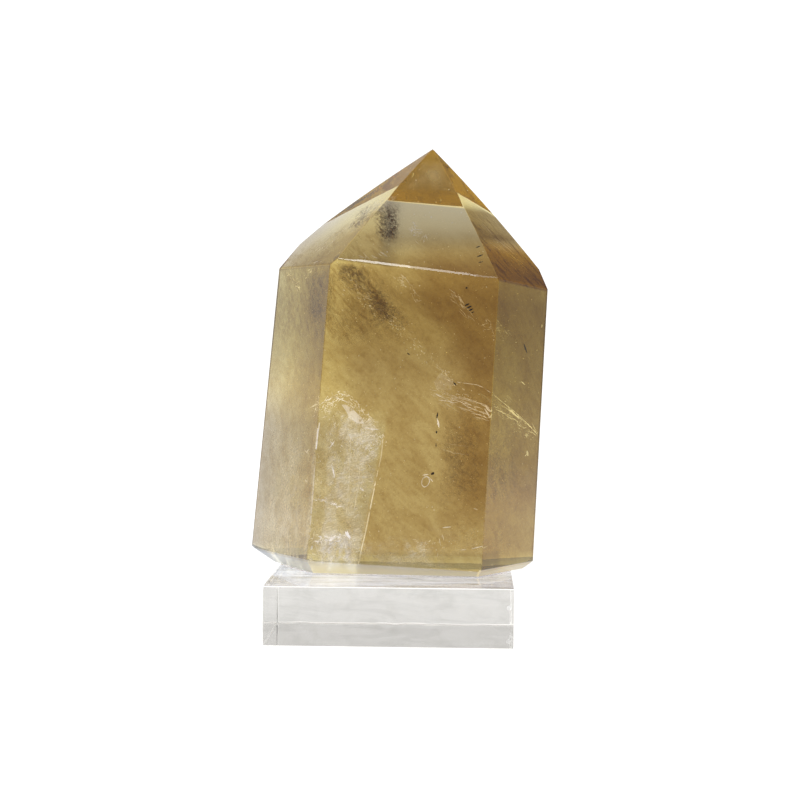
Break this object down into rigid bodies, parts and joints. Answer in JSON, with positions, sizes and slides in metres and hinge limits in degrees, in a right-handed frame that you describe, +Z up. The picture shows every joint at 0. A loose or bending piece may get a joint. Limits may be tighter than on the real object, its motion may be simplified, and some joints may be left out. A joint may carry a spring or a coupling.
{
  "type": "citrine crystal point on clear block",
  "caption": "Polished six-sided citrine point with a bevelled flat base, leaning a little, resting on a square clear acrylic display block.",
  "frame": {"origin": "centre of the acrylic block's underside", "axes": "+X to the right along the block's front edge, +Y to the back, +Z up; the block's front face looks along -Y"},
  "size_m": [0.0986, 0.0834, 0.1555],
  "materials": {
    "citrine": "polished see-through smoky golden quartz with veils and inclusions",
    "acrylic": "clear cast acrylic, lightly scuffed, with eased edges"
  },
  "bodies": {
    "root": {"citrine_point": "citrine", "acrylic_block": "acrylic"}
  },
  "joints": []
}
